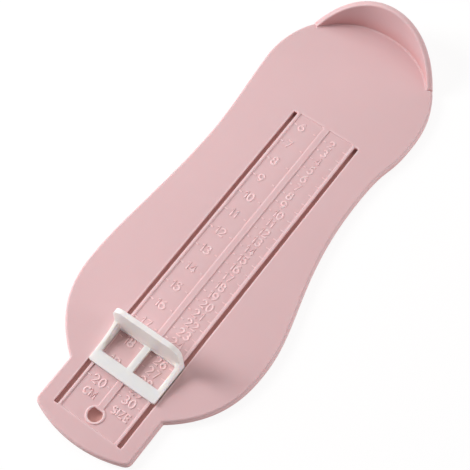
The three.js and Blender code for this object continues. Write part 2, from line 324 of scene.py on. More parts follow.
def sole_outline():
    heel_back = -HEEL_STOP_WALL
    end_radius = (TAIL_HALF_WIDTH**2 + TAIL_CROWN**2) / (2 * TAIL_CROWN)
    end_centre = TAIL_TIP - end_radius
    corner_x = TAIL_HALF_WIDTH - TAIL_CORNER_ROUND
    end_angle = math.degrees(math.asin(corner_x / end_radius))
    corner_y = end_centre + end_radius * math.cos(math.radians(end_angle))
    side_end = TAIL_SIDE_END - TAIL_CORNER_ROUND
    slope = (TAIL_HALF_WIDTH + TOE_SLOPE_ACROSS, TAIL_START - TOE_SLOPE_ALONG)
    points = bezier([
        (HEEL_MIDDLE, heel_back),
        (HEEL_MIDDLE + HEEL_TOWARDS_OUTER, heel_back),
        (OUTER_HEEL["x"], OUTER_HEEL["y"] - OUTER_HEEL["before"]),
        (OUTER_HEEL["x"], OUTER_HEEL["y"]),
    ])
    points += towards_toe(OUTER_HEEL, OUTER_WAIST)
    points += towards_toe(OUTER_WAIST, OUTER_BALL)
    points += bezier([
        (OUTER_BALL["x"], OUTER_BALL["y"]),
        (OUTER_BALL["x"], OUTER_BALL["y"] + OUTER_BALL["after"]),
        slope,
        (TAIL_HALF_WIDTH, TAIL_START),
    ])
    points += straight((TAIL_HALF_WIDTH, TAIL_START), (TAIL_HALF_WIDTH, side_end))
    tip = (TAIL_HALF_WIDTH, TAIL_SIDE_END)
    points += corner((TAIL_HALF_WIDTH, side_end), tip, (corner_x, corner_y))
    points += arc(0, end_centre, end_radius, end_radius, 90 - end_angle, 90 + end_angle, 42)[:-1]
    tip = (-TAIL_HALF_WIDTH, TAIL_SIDE_END)
    points += corner((-corner_x, corner_y), tip, (-TAIL_HALF_WIDTH, side_end))
    points += straight((-TAIL_HALF_WIDTH, side_end), (-TAIL_HALF_WIDTH, TAIL_START))
    points += bezier([
        (-TAIL_HALF_WIDTH, TAIL_START),
        (-slope[0], slope[1]),
        (ARCH_BALL["x"], ARCH_BALL["y"] + ARCH_BALL["after"]),
        (ARCH_BALL["x"], ARCH_BALL["y"]),
    ])
    points += towards_heel(ARCH_BALL, ARCH_WAIST)
    points += towards_heel(ARCH_WAIST, ARCH_HEEL)
    points += bezier([
        (ARCH_HEEL["x"], ARCH_HEEL["y"]),
        (ARCH_HEEL["x"], ARCH_HEEL["y"] - ARCH_HEEL["before"]),
        (HEEL_MIDDLE - HEEL_TOWARDS_ARCH, heel_back),
        (HEEL_MIDDLE, heel_back),
    ])
    return refined_at_stop_ends(points)


def slot_loop(side):
    """A slot with squarish ends, a little wider towards the toe."""
    r = SLOT_CORNER
    middle = side * SLOT_OFFSET
    narrow, wide = SLOT_WIDTH / 2, SLOT_TOE_WIDTH / 2
    loop = arc(middle - narrow + r, SLOT_HEEL_END + r, r, r, 180, 270, 5)
    loop += arc(middle + narrow - r, SLOT_HEEL_END + r, r, r, 270, 360, 5)
    loop += [Vector((middle + narrow, SLOT_WIDENS_AT)), Vector((middle + wide, SLOT_WIDENED_AT))]
    loop += arc(middle + wide - r, SLOT_TOE_END - r, r, r, 0, 90, 5)
    loop += arc(middle - wide + r, SLOT_TOE_END - r, r, r, 90, 180, 5)
    loop += [Vector((middle - wide, SLOT_WIDENED_AT)), Vector((middle - narrow, SLOT_WIDENS_AT))]
    return loop


def hole_loop():
    """The hanging hole: a circle cut off by a flat on its heel side."""
    flat = math.degrees(math.asin(HOLE_FLAT / HOLE_RADIUS))
    loop = arc(0, HOLE_AT, HOLE_RADIUS, HOLE_RADIUS, -flat, 180 + flat, 40)
    ends = loop[-1], loop[0]
    return loop + [ends[0].lerp(ends[1], step / 6) for step in range(1, 6)]


def field_loop():
    """The sunk field: a rectangle round the rib and the hole's ring, open to neither."""
    half_rib = RIB_WIDTH / 2
    r = FIELD_CORNER
    x, low, high = FIELD_HALF_WIDTH, FIELD_START, FIELD_END
    ring_meets_rib = math.degrees(math.asin(half_rib / RING_RADIUS))
    loop = arc(half_rib + r, low + r, r, r, 180, 270, 5)
    loop += arc(x - r, low + r, r, r, 270, 360, 5)
    loop += arc(x - r, high - r, r, r, 0, 90, 5)
    loop += arc(r - x, high - r, r, r, 90, 180, 5)
    loop += arc(r - x, low + r, r, r, 180, 270, 5)
    loop += arc(-half_rib - r, low + r, r, r, 270, 360, 5)
    loop += arc(0, HOLE_AT, RING_RADIUS, RING_RADIUS, 270 - ring_meets_rib, ring_meets_rib - 90, 48)
    return loop


def mitres(loop):
    """For each point of a closed loop, how it moves when the loop grows to its right by one."""
    moves = []
    for index, point in enumerate(loop):
        arriving = (point - loop[index - 1]).normalized()
        leaving = (loop[(index + 1) % len(loop)] - point).normalized()
        normal = Vector((arriving.y + leaving.y, -arriving.x - leaving.x)).normalized()
        spread = normal.x * leaving.y - normal.y * leaving.x
        moves.append(normal / max(spread, 0.3))
    return moves


# Plate skin


def quarter_round(from_offset, from_z, to_offset, to_z, steps, upright_first):
    """Profile points on a quarter ellipse that starts upright, or else level."""
    run, climb = to_offset - from_offset, to_z - from_z
    points = []
    for index in range(steps + 1):
        turn = math.pi / 2 * index / steps
        if upright_first:
            across, along = 1 - math.cos(turn), math.sin(turn)
        else:
            across, along = math.sin(turn), 1 - math.cos(turn)
        points.append((from_offset + run * across, from_z + climb * along))
    return points


def skirt_profile():
    """Inset and height from the web's underside, round the skirt's foot, to the outer side."""
    edge = SKIRT_EDGE_ROUND
    return [
        (SKIRT_WIDTH, PLATE_TOP - PLATE_WALL),
        (SKIRT_WIDTH, edge),
        (SKIRT_WIDTH - edge, 0),
        (edge, 0),
        (edge * 0.3, edge * 0.3),
        (0, edge),
        (0, SKIRT_SIDE_START),
    ]


def shoulder_profile():
    """The plain shoulder, with as many points as stop_profile has."""
    start = PLATE_TOP - SHOULDER_ROUND
    return quarter_round(0, start, SHOULDER_ROUND, PLATE_TOP, 24, True)


def stop_profile(height):
    """Up the heel stop's outer side, over its rim, down its face and over the bead at its foot."""
    rim = PLATE_TOP + height
    rim_round = min(HEEL_RIM_ROUND, LARGEST_ROUND_SHARE * height)
    fillet = min(HEEL_BASE_FILLET, LARGEST_ROUND_SHARE * height)
    wall = HEEL_STOP_WALL
    outer = quarter_round(0, rim - rim_round, rim_round, rim, 4, True)
    inner = quarter_round(wall - rim_round, rim, wall, rim - rim_round, 4, False)
    bead_height = min(HEEL_BASE_BEAD["height"], LARGEST_BEAD_SHARE * height)
    bead_top = PLATE_TOP + bead_height
    bead_end = wall + fillet + HEEL_BASE_BEAD["width"]
    base = quarter_round(wall, bead_top + fillet, wall + fillet, bead_top, 4, True)
    base += quarter_round(bead_end - bead_height, bead_top, bead_end, PLATE_TOP, 2, False)
    top_of_face, foot_of_face = inner[-1][1], base[0][1]
    face = [(wall, top_of_face + (foot_of_face - top_of_face) * step / 8) for step in range(1, 8)]
    return outer + inner + face + base


def eased(value):
    value = min(1, max(0, value))
    return value * value * (3 - 2 * value)


def side_profile(point):
    """The profile at one point of the outline: plain shoulder, or heel stop, or between the two."""
    angle = abs(heel_angle(point))
    share = eased((HEEL_STOP_HALF_ANGLE - angle) / HEEL_STOP_END_BLEND + 0.5)
    plain = shoulder_profile()
    if share == 0:
        return skirt_profile() + plain
    full_height = RIM_AT_BACK - PLATE_TOP
    fall = (1 - math.cos(angle)) / (1 - math.cos(HEEL_STOP_HALF_ANGLE))
    height = full_height - (full_height - HEEL_STOP_END_HEIGHT) * min(1, fall)
    stop = stop_profile(height)
    mixed = []
    for low, high in zip(plain, stop):
        mixed.append((low[0] + (high[0] - low[0]) * share, low[1] + (high[1] - low[1]) * share))
    return skirt_profile() + mixed


def sweep(bm, loop, profiles):
    """Strips of faces round a loop. Returns the rings of vertices, first and last profile point."""
    moves = mitres(loop)
    rings = []
    for level in range(len(profiles[0])):
        ring = []
        for point, move, profile in zip(loop, moves, profiles):
            inset, z = profile[level]
            x, y = point - move * inset
            ring.append(bm.verts.new((x, y, z)))
        rings.append(ring)
    for lower, upper in zip(rings, rings[1:]):
        for index in range(len(loop)):
            after = (index + 1) % len(loop)
            bm.faces.new((lower[index], lower[after], upper[after], upper[index]))
    return rings[0], rings[-1]


def fill(bm, boundary, holes):
    """A flat face, triangulated, between a ring of vertices and the rings of its holes."""
    rings = [boundary, *holes]
    vertices = [vertex for ring in rings for vertex in ring]
    outlines = []
    for ring in rings:
        start = sum(len(outline) for outline in outlines)
        outlines.append(list(range(start, start + len(ring))))
    flat = [vertex.co.xy for vertex in vertices]
    inside = 1
    result = delaunay_2d_cdt(flat, [], outlines, inside, 1e-6)
    triangles, corner_origins, face_origins = result[2], result[3], result[5]
    for triangle, owners in zip(triangles, face_origins):
        if list(owners) == [0]:
            bm.faces.new([vertices[corner_origins[index][0]] for index in triangle])


def opening_profile(lip, bottom):
    """Over a rounded lip and straight down. Insets are negative: the lip lies outside the loop."""
    down = quarter_round(-lip, PLATE_TOP, 0, PLATE_TOP - lip, 4, False)
    return down + [(0, bottom)]


def field_profile():
    lip = FIELD_LIP_ROUND
    down = quarter_round(-lip, PLATE_TOP, 0, PLATE_TOP - lip, 3, False)
    return down + quarter_round(0, FIELD_FLOOR + FIELD_FILLET, FIELD_FILLET, FIELD_FLOOR, 2, True)


def foot_plate():
    bm = bmesh.new()
    outline = sole_outline()
    under_ring, top_ring = sweep(bm, outline, [side_profile(point) for point in outline])
    web_bottom = PLATE_TOP - PLATE_WALL
    top_holes, under_holes = [], []
    openings = [
        (slot_loop(-1), SLOT_LIP_ROUND),
        (slot_loop(1), SLOT_LIP_ROUND),
        (hole_loop(), RING_ROUND),
    ]
    for loop, lip in openings:
        over, under = sweep(bm, loop, [opening_profile(lip, web_bottom)] * len(loop))
        top_holes.append(over)
        under_holes.append(under)
    loop = field_loop()
    over, floor_ring = sweep(bm, loop, [field_profile()] * len(loop))
    top_holes.append(over)
    fill(bm, top_ring, top_holes)
    fill(bm, floor_ring, [])
    fill(bm, under_ring, under_holes)
    return finish_mesh("moulded_foot_plate", bm, math.radians(50))


# Figures and marks, as rounded strokes raised from the field

FIGURES = {
    "0": [arc(0.31, 0.5, 0.31, 0.5, 0, 360, 24)],
    "1": [[(0.05, 0.78), (0.28, 1), (0.28, 0)]],
    "2": [arc(0.31, 0.7, 0.3, 0.3, 170, -30, 12) + [(0, 0), (0.64, 0)]],
    "3": [arc(0.3, 0.76, 0.26, 0.24, 155, -90, 12) + arc(0.3, 0.26, 0.31, 0.26, 90, -160, 14)],
    "4": [[(0.66, 0.28), (0, 0.28), (0.47, 1), (0.47, 0)]],
    "5": [[(0.58, 1), (0.14, 1), (0.07, 0.5)] + arc(0.29, 0.32, 0.31, 0.32, 125, -155, 14)],
    "6": [arc(0.32, 0.31, 0.31, 0.31, 0, 360, 20), arc(0.6, 0.31, 0.59, 0.69, 180, 100, 8)],
    "7": [[(0, 1), (0.62, 1), (0.22, 0)]],
    "8": [arc(0.31, 0.76, 0.25, 0.24, 0, 360, 18), arc(0.31, 0.26, 0.31, 0.26, 0, 360, 20)],
    "9": [arc(0.31, 0.69, 0.31, 0.31, 0, 360, 20), arc(0.03, 0.69, 0.59, 0.69, 0, -80, 8)],
    "C": [arc(0.4, 0.5, 0.4, 0.5, 50, 310, 18)],
    "M": [[(0, 0), (0, 1), (0.38, 0.1), (0.76, 1), (0.76, 0)]],
    "S": [arc(0.29, 0.76, 0.26, 0.24, 35, 270, 12) + arc(0.29, 0.26, 0.29, 0.26, 90, -145, 12)],
    "I": [[(0, 0), (0, 1)]],
    "Z": [[(0, 1), (0.58, 1), (0, 0), (0.6, 0)]],
    "E": [[(0.52, 1), (0, 1), (0, 0), (0.54, 0)], [(0, 0.52), (0.46, 0.52)]],
}


def figure_width(figure):
    return max(point[0] for stroke in FIGURES[figure] for point in stroke)


def text_width(text, height):
    widths = sum(figure_width(figure) for figure in text)
    return (widths + GLYPH_GAP * (len(text) - 1)) * height


def written(text, start_x, middle_y, height):
    """Strokes of a text that is read from the toe end: up is towards the heel."""
    strokes = []
    across = 0
    for figure in text:
        for stroke in FIGURES[figure]:
            strokes.append([
                (start_x - (across + x) * height, middle_y - (y - 0.5) * height)
                for x, y in stroke
            ])
        across += figure_width(figure) + GLYPH_GAP
    return strokes


def label(text, middle_x):
    start_x = middle_x + text_width(text, LABEL_HEIGHT) / 2
    return written(text, start_x, LABEL_AT, LABEL_HEIGHT)


def raised_strokes(name, strokes, half_width, height):
    """Strokes with a half-elliptical section, standing on the floor of the field."""
    curve = bpy.data.curves.new(name, "CURVE")
    curve.dimensions = "3D"
    curve.bevel_depth = half_width * MILLIMETRE
    curve.bevel_resolution = 3
    curve.use_fill_caps = True
    for stroke in strokes:
        closed = (Vector(stroke[0]) - Vector(stroke[-1])).length < 1e-6
        points = stroke[:-1] if closed else stroke
        spline = curve.splines.new("POLY")
        spline.points.add(len(points) - 1)
        for target, (x, y) in zip(spline.points, points):
            target.co = (*place((x, y, FIELD_FLOOR)), 1)
        spline.use_cyclic_u = closed
    shaped = add_object(name + "_curve", curve)
    evaluated = shaped.evaluated_get(bpy.context.evaluated_depsgraph_get())
    mesh = bpy.data.meshes.new_from_object(evaluated)
    bpy.data.objects.remove(shaped)
    floor_z = FIELD_FLOOR * MILLIMETRE
    for vertex in mesh.vertices:
        vertex.co.z = floor_z + (vertex.co.z - floor_z) * height / half_width
    mesh.shade_smooth()
    mesh.set_sharp_from_angle(angle=math.radians(50))
    mesh.name = name
    return add_object(name, mesh)


def centimetre_figures():
    strokes = label("CM", CENTIMETRE_LABEL_MIDDLE)
    for number in range(FIRST_CENTIMETRE, LAST_CENTIMETRE + 1):
        y = number * CENTIMETRE
        strokes += written(str(number), CENTIMETRE_FIGURE_START, y, CENTIMETRE_FIGURE_HEIGHT)
    return raised_strokes("centimetre_figures", strokes, STROKE_HALF_WIDTH, STROKE_HEIGHT)


def size_figures():
    strokes = label("SIZE", SIZE_LABEL_MIDDLE)
    start = FIRST_CENTIMETRE * CENTIMETRE
    count = round((LAST_CENTIMETRE * CENTIMETRE - start) / SIZE_PITCH)
    for index in range(count + 1):
        text = str(FIRST_SIZE + index)
        strokes += written(text, SIZE_FIGURE_START, start + index * SIZE_PITCH, SIZE_FIGURE_HEIGHT)
    return raised_strokes("size_figures", strokes, STROKE_HALF_WIDTH, STROKE_HEIGHT)


def scale_marks():
    rim = FIELD_HALF_WIDTH
    rib = RIB_WIDTH / 2 + RIB_TICK_GAP
    spans = [(rim - RIM_TICK_LENGTH, rim), (rib, rib + RIB_TICK_LENGTH)]
    start, end = FIRST_CENTIMETRE * CENTIMETRE, LAST_CENTIMETRE * CENTIMETRE
    strokes = []
    for side, pitch in ((1, CENTIMETRE), (-1, SIZE_PITCH)):
        for index in range(round((end - start) / pitch) + 1):
            y = start + index * pitch
            strokes += [[(side * near, y), (side * far, y)] for near, far in spans]
    return raised_strokes("scale_marks", strokes, TICK_HALF_WIDTH, TICK_HEIGHT)


# Toe stop


def prism(outline, direction, depth):
    """A closed bmesh: a polygon of 3-D points pushed along a direction."""
    bm = bmesh.new()
    near = [bm.verts.new(point) for point in outline]
    shift = Vector(direction) * depth
    far = [bm.verts.new(Vector(point) + shift) for point in outline]
    bm.faces.new(near)
    bm.faces.new(reversed(far))
    for index in range(len(near)):
        after = (index + 1) % len(near)
        bm.faces.new((near[after], near[index], far[index], far[after]))
    bmesh.ops.recalc_face_normals(bm, faces=bm.faces)
    return bm


def block(x_from, x_to, y_from, y_to, z_from, z_to):
    base = [(x_from, y_from), (x_to, y_from), (x_to, y_to), (x_from, y_to)]
    return prism([(x, y, z_from) for x, y in base], (0, 0, 1), z_to - z_from)


def working_object(name, bm):
    mesh = bpy.data.meshes.new(name)
    bm.to_mesh(mesh)
    bm.free()
    return add_object(name, mesh)


def apply_modifiers(obj):
    evaluated = obj.evaluated_get(bpy.context.evaluated_depsgraph_get())
    mesh = bpy.data.meshes.new_from_object(evaluated)
    obj.modifiers.clear()
    obj.data = mesh


def combine(base, bm, operation):
    """Adds a solid to the base or cuts it away."""
    tool = working_object("tool", bm)
    boolean = base.modifiers.new("boolean", "BOOLEAN")
    boolean.operation = operation
    boolean.solver = "EXACT"
    boolean.object = tool
    apply_modifiers(base)
    bpy.data.objects.remove(tool)


def rounded_edges(obj, width, angle):
    """Joins coplanar faces and rounds every edge sharper than the angle."""
    bm = bmesh.new()
    bm.from_mesh(obj.data)
    bmesh.ops.remove_doubles(bm, verts=bm.verts, dist=1e-4)
    bmesh.ops.dissolve_limit(bm, angle_limit=math.radians(0.5), verts=bm.verts, edges=bm.edges)
    bm.to_mesh(obj.data)
    bm.free()
    bevel = obj.modifiers.new("bevel", "BEVEL")
    bevel.width = width
    bevel.segments = 3
    bevel.limit_method = "ANGLE"
    bevel.angle_limit = angle
    bevel.use_clamp_overlap = True
    apply_modifiers(obj)


def frame_slab():
    half, r = FRAME_HALF_WIDTH, FRAME_CORNER
    toe_end = TOE_FACE + FRAME_LENGTH
    corners = arc(half - r, toe_end - r, r, r, 0, 90, 6)
    corners += arc(r - half, toe_end - r, r, r, 90, 180, 6)
    outline = [(-half, TOE_FACE), (half, TOE_FACE), *((point.x, point.y) for point in corners)]
    return prism([(x, y, FRAME_BOTTOM) for x, y in outline], (0, 0, 1), FRAME_TOP - FRAME_BOTTOM)


def frame_window(side):
    near, far = RIB_WIDTH / 2, FRAME_HALF_WIDTH - SIDE_BAR_WIDTH
    x_from, x_to = sorted((side * near, side * far))
    y_to = TOE_FACE + FRAME_LENGTH - FRONT_BAR_DEPTH
    return block(x_from, x_to, TOE_FACE + REAR_BAR_DEPTH, y_to, FRAME_BOTTOM - 1, FRAME_TOP + 1)


def toe_wall():
    half, r, top = FRAME_HALF_WIDTH, TOE_WALL_CORNER, TOE_WALL_TOP
    corners = arc(half - r, top - r, r, r, 0, 90, 14)
    corners += arc(r - half, top - r, r, r, 90, 180, 14)
    outline = [(-half, FRAME_BOTTOM), (half, FRAME_BOTTOM)]
    outline += [(point.x, point.y) for point in corners]
    return prism([(x, TOE_FACE, z) for x, z in outline], (0, 1, 0), TOE_WALL_THICKNESS)


def web(side):
    """The web over a side bar. Its top is a hollow curve, and its foot reaches the bar's edge."""
    steps = 22
    sections = []
    for index in range(steps + 1):
        t = index / steps
        s = 1 - t
        y = 2 * s * t * WEB_HOLLOW_RUN + t * t * WEB_RUN
        rise = s * s * WEB_RISE + 2 * s * t * WEB_HOLLOW_RISE
        spread = WEB_WALL_FILLET * math.exp(-y / WEB_WALL_FILLET)
        outer, inner = FRAME_HALF_WIDTH, FRAME_HALF_WIDTH - WEB_THICKNESS - spread
        bar_inner = FRAME_HALF_WIDTH - SIDE_BAR_WIDTH
        section = [
            (outer, FRAME_BOTTOM),
            (outer, FRAME_TOP + rise),
            (inner, FRAME_TOP + rise),
            (min(inner, bar_inner), FRAME_TOP),
            (min(inner, bar_inner), FRAME_BOTTOM),
        ]
        start = TOE_FACE + TOE_WALL_THICKNESS
        if index == 0:
            sections.append([(side * x, start - 0.4, z) for x, z in section])
        sections.append([(side * x, start + y, z) for x, z in section])
    bm = bmesh.new()
    rings = [[bm.verts.new(point) for point in section] for section in sections]
    bm.faces.new(rings[0])
    bm.faces.new(rings[-1])
    count = len(rings[0])
    for lower, upper in zip(rings, rings[1:]):
        for index in range(count):
            after = (index + 1) % count
            bm.faces.new((lower[index], lower[after], upper[after], upper[index]))
    bmesh.ops.remove_doubles(bm, verts=bm.verts, dist=1e-5)
    bmesh.ops.recalc_face_normals(bm, faces=bm.faces)
    return bm


def leg(side, start):
    """A leg with the barb that reaches out under the keeper."""
    near = LEG_OFFSET - LEG_THICKNESS / 2
    far = LEG_OFFSET + LEG_THICKNESS / 2
    barb_top = keeper_low.z / MILLIMETRE - BARB_GAP
    barb_bottom = barb_top - BARB_DEPTH
    outline = [
        (near, LEG_TOP),
        (near, barb_bottom),
        (far, barb_bottom),
        (far + BARB_REACH, barb_top - BARB_DEPTH / 3),
        (far + BARB_REACH, barb_top),
        (far, barb_top),
        (far, LEG_TOP),
    ]
    points = [(side * x, TOE_FACE + start, z) for x, z in outline]
    return prism(points, (0, 1, 0), LEG_LENGTH)


def draft_flanks(obj):
    """Leans the outer sides out towards the bottom, as a mould's draft does."""
    upright = FRAME_HALF_WIDTH - FRAME_CORNER
    height = TOE_WALL_TOP - FRAME_BOTTOM
    for vertex in obj.data.vertices:
        x, _, z = vertex.co
        beyond = max(0, abs(x) - upright) / FRAME_CORNER
        shift = FLANK_DRAFT * beyond * (TOE_WALL_TOP - z) / height
        vertex.co.x = x + math.copysign(shift, x)


def toe_stop():
    slider = working_object("sliding_toe_stop", frame_slab())
    for side in (-1, 1):
        combine(slider, frame_window(side), "DIFFERENCE")
    combine(slider, toe_wall(), "UNION")
    for side in (-1, 1):
        combine(slider, web(side), "UNION")
    draft_flanks(slider)
    rounded_edges(slider, SLIDER_EDGE_ROUND, math.radians(40))
    for side in (-1, 1):
        for start in LEG_STARTS:
            combine(slider, leg(side, start), "UNION")
    bm = bmesh.new()
    bm.from_mesh(slider.data)
    bpy.data.objects.remove(slider)
    return finish_mesh("sliding_toe_stop", bm, math.radians(40))


# Materials


def noise(nodes, links, coordinates, scale, detail):
    texture = nodes.new("ShaderNodeTexNoise")
    texture.inputs["Scale"].default_value = scale
    texture.inputs["Detail"].default_value = detail
    links.new(coordinates, texture.inputs["Vector"])
    return texture.outputs["Fac"]


def openness(nodes, reach, inside):
    """How open a point is: 1 on a flat face, less in a corner or, seen from inside, at an edge."""
    node = nodes.new("ShaderNodeAmbientOcclusion")
    node.samples = 8
    node.only_local = inside
    node.inside = inside
    node.inputs["Distance"].default_value = reach * MILLIMETRE
    return node.outputs["AO"]


def tinted(nodes, links, colour, factor, stops):
    """The colour, at most white, multiplied by a tint that follows the factor through the stops."""
    ramp = nodes.new("ShaderNodeValToRGB")
    elements = ramp.color_ramp.elements
    while len(elements) < len(stops):
        elements.new(0.5)
    for element, (position, tint) in zip(elements, stops):
        element.position = position
        element.color = (*tint, 1)
    links.new(factor, ramp.inputs["Fac"])
    product = nodes.new("ShaderNodeVectorMath")
    product.operation = "MULTIPLY"
    links.new(colour, product.inputs[0])
    links.new(ramp.outputs["Color"], product.inputs[1])
    held = nodes.new("ShaderNodeVectorMath")
    held.operation = "MINIMUM"
    held.inputs[1].default_value = (1, 1, 1)
    links.new(product.outputs["Vector"], held.inputs[0])
    return held.outputs["Vector"]


def uprightness(nodes, links):
    """1 on an upright face and 0 on a level one."""
    height = nodes.new("ShaderNodeSeparateXYZ")
    links.new(nodes.new("ShaderNodeNewGeometry").outputs["True Normal"], height.inputs["Vector"])
    size = nodes.new("ShaderNodeMath")
    size.operation = "ABSOLUTE"
    links.new(height.outputs["Z"], size.inputs[0])
    rest = nodes.new("ShaderNodeMath")
    rest.operation = "SUBTRACT"
    rest.inputs[0].default_value = 1
    links.new(size.outputs["Value"], rest.inputs[1])
    return rest.outputs["Value"]


def deepened_and_edged(nodes, links, colour, recess_painted_light_stops, edge_painted_highlight_stops):
    """Painted light: upright faces take a painted tint in recesses, painted shade on the pink and
    painted bounce light on the white, and thin edges are painted lighter as a painted highlight.
    """
    painted_recess = tinted(nodes, links, colour, openness(nodes, RECESS_REACH, False), recess_painted_light_stops)
    blend = nodes.new("ShaderNodeMix")
    blend.data_type = "VECTOR"
    factor, first, second = blend.inputs[0], blend.inputs[4], blend.inputs[5]
    links.new(uprightness(nodes, links), factor)
    links.new(colour, first)
    links.new(painted_recess, second)
    return tinted(nodes, links, blend.outputs[1], openness(nodes, EDGE_REACH, True), edge_painted_highlight_stops)


def moulded_plastic(name, colour, stops, glow, shade_change, roughness, grain_height):
    """Satin moulded plastic: faint flow clouds in the colour, painted light and shade in recesses,
    a painted highlight at thin edges, uneven gloss, and a fine grain.
    """
    material = bpy.data.materials.new(name)
    material.use_nodes = True
    nodes, links = material.node_tree.nodes, material.node_tree.links
    shader = nodes["Principled BSDF"]
    coordinates = nodes.new("ShaderNodeTexCoord").outputs["Object"]

    clouds = noise(nodes, links, coordinates, CLOUD_SCALE, 3)
    ramp = nodes.new("ShaderNodeValToRGB")
    ramp.color_ramp.elements[0].position = 0.3
    ramp.color_ramp.elements[1].position = 0.7
    ramp.color_ramp.elements[0].color = (*(channel * (1 - shade_change) for channel in colour), 1)
    ramp.color_ramp.elements[1].color = (*(channel * (1 + shade_change) for channel in colour), 1)
    links.new(clouds, ramp.inputs["Fac"])
    # Painted shade and bounce light in recesses and a painted highlight at thin edges go into the
    # colour here
    finished = deepened_and_edged(nodes, links, ramp.outputs["Color"], *stops)
    links.new(finished, shader.inputs["Base Color"])

    gloss = noise(nodes, links, coordinates, GLOSS_SCALE, 4)
    spread = nodes.new("ShaderNodeMapRange")
    spread.inputs["To Min"].default_value = roughness - GLOSS_CHANGE
    spread.inputs["To Max"].default_value = roughness + GLOSS_CHANGE
    links.new(gloss, spread.inputs["Value"])
    links.new(spread.outputs["Result"], shader.inputs["Roughness"])

    grain = noise(nodes, links, coordinates, GRAIN_SCALE, 2)
    waves = noise(nodes, links, coordinates, WAVE_SCALE, 2)
    fine = nodes.new("ShaderNodeBump")
    fine.inputs["Strength"].default_value = 0.35
    fine.inputs["Distance"].default_value = grain_height * MILLIMETRE
    links.new(grain, fine.inputs["Height"])
    coarse = nodes.new("ShaderNodeBump")
    coarse.inputs["Strength"].default_value = 0.25
    coarse.inputs["Distance"].default_value = WAVE_HEIGHT * MILLIMETRE
    links.new(waves, coarse.inputs["Height"])
    links.new(fine.outputs["Normal"], coarse.inputs["Normal"])
    links.new(coarse.outputs["Normal"], shader.inputs["Normal"])

    shader.inputs["IOR"].default_value = 1.5
    shader.inputs["Specular IOR Level"].default_value = 0.3
    share, reach, depth = glow
    shader.inputs["Subsurface Weight"].default_value = share
    shader.inputs["Subsurface Radius"].default_value = reach
    shader.inputs["Subsurface Scale"].default_value = depth * MILLIMETRE
    return material


def give(obj, material):
    obj.data.materials.clear()
    obj.data.materials.append(material)


# Stage, lights and camera

FLOOR_SIZE = 6.0
FLOOR_WHITE = 1.06
FLOOR_COLOUR = (0.8, 0.8, 0.8, 1)
# Painted light under the plate: a pink floor colour and a faint pink glow, which fades out towards
# the slots' heel end
UNDER_PLATE_PAINTED_PINK = (0.9, 0.55, 0.5, 1)
UNDER_PLATE_PAINTED_GLOW = (0.085, 0.055, 0.052, 1)
UNDER_PLATE_PAINTED_GLOW_FADES = (SLOT_HEEL_END - 1.5, SLOT_HEEL_END + 6)
FLOOR_SHADOW_SHARE = 0.15
SHADED_FLOOR_INSET = SKIRT_WIDTH + 0.2
SHADED_FLOOR_HEIGHT = 0.02

# Angles in degrees and distances in metres from the middle of the gauge. The key and the low side
# light are kept out of reflections, because their sheen burns the plate out in a low side view.
LIGHTS = {
    "key": {
        "azimuth": 20, "elevation": 37, "distance": 0.72,
        "size": (0.28, 0.28), "power": 3.0, "glossy": False,
    },
    "heel_side": {
        "azimuth": -52, "elevation": 57, "distance": 0.55,
        "size": (0.35, 0.35), "power": 0.66, "glossy": True,
    },
    "low_side": {
        "azimuth": 18, "elevation": 24, "distance": 0.7,
        "size": (0.3, 0.3), "power": 1.7, "glossy": False,
    },
    "fill": {
        "azimuth": -172, "elevation": 32, "distance": 0.8,
        "size": (0.35, 0.35), "power": 0.55, "glossy": True,
    },
    "low_fill": {
        "azimuth": -156, "elevation": 9, "distance": 0.8,
        "size": (0.5, 0.16), "power": 2.2, "glossy": True,
    },
}
SKY_STRENGTH = 0.2
SKY_COLOUR = (1.0, 0.7, 0.68, 1)
CAMERA_AT = (-154.55, 305.47, 492.84)
CAMERA_AZIMUTH = math.radians(129.86)
CAMERA_ELEVATION = math.radians(63.48)
CAMERA_ROLL = math.radians(3.86)
CAMERA_LENS = 102.03


def camera_or_mirror(nodes, links):
    """1 for rays that come from the camera, off a glossy surface or through a clear one."""
    path = nodes.new("ShaderNodeLightPath")
    result = path.outputs["Is Camera Ray"]
    for kind in ("Is Glossy Ray", "Is Transmission Ray"):
        either = nodes.new("ShaderNodeMath")
        either.operation = "MAXIMUM"
        links.new(result, either.inputs[0])
        links.new(path.outputs[kind], either.inputs[1])
        result = either.outputs["Value"]
    return result


def floor_material():
    material = bpy.data.materials.new("white_floor")
    material.use_nodes = True
    nodes, links = material.node_tree.nodes, material.node_tree.links
    nodes.clear()
    output = nodes.new("ShaderNodeOutputMaterial")
    white = nodes.new("ShaderNodeEmission")
    lit = nodes.new("ShaderNodeBsdfDiffuse")
    white.inputs["Strength"].default_value = FLOOR_WHITE
    lit.inputs["Color"].default_value = FLOOR_COLOUR
    shown = nodes.new("ShaderNodeMixShader")
    shown.inputs["Fac"].default_value = FLOOR_SHADOW_SHARE
    links.new(white.outputs["Emission"], shown.inputs[1])
    links.new(lit.outputs["BSDF"], shown.inputs[2])
    choice = nodes.new("ShaderNodeMixShader")
    links.new(camera_or_mirror(nodes, links), choice.inputs["Fac"])
    links.new(lit.outputs["BSDF"], choice.inputs[1])
    links.new(shown.outputs["Shader"], choice.inputs[2])
    links.new(choice.outputs["Shader"], output.inputs["Surface"])
    return material


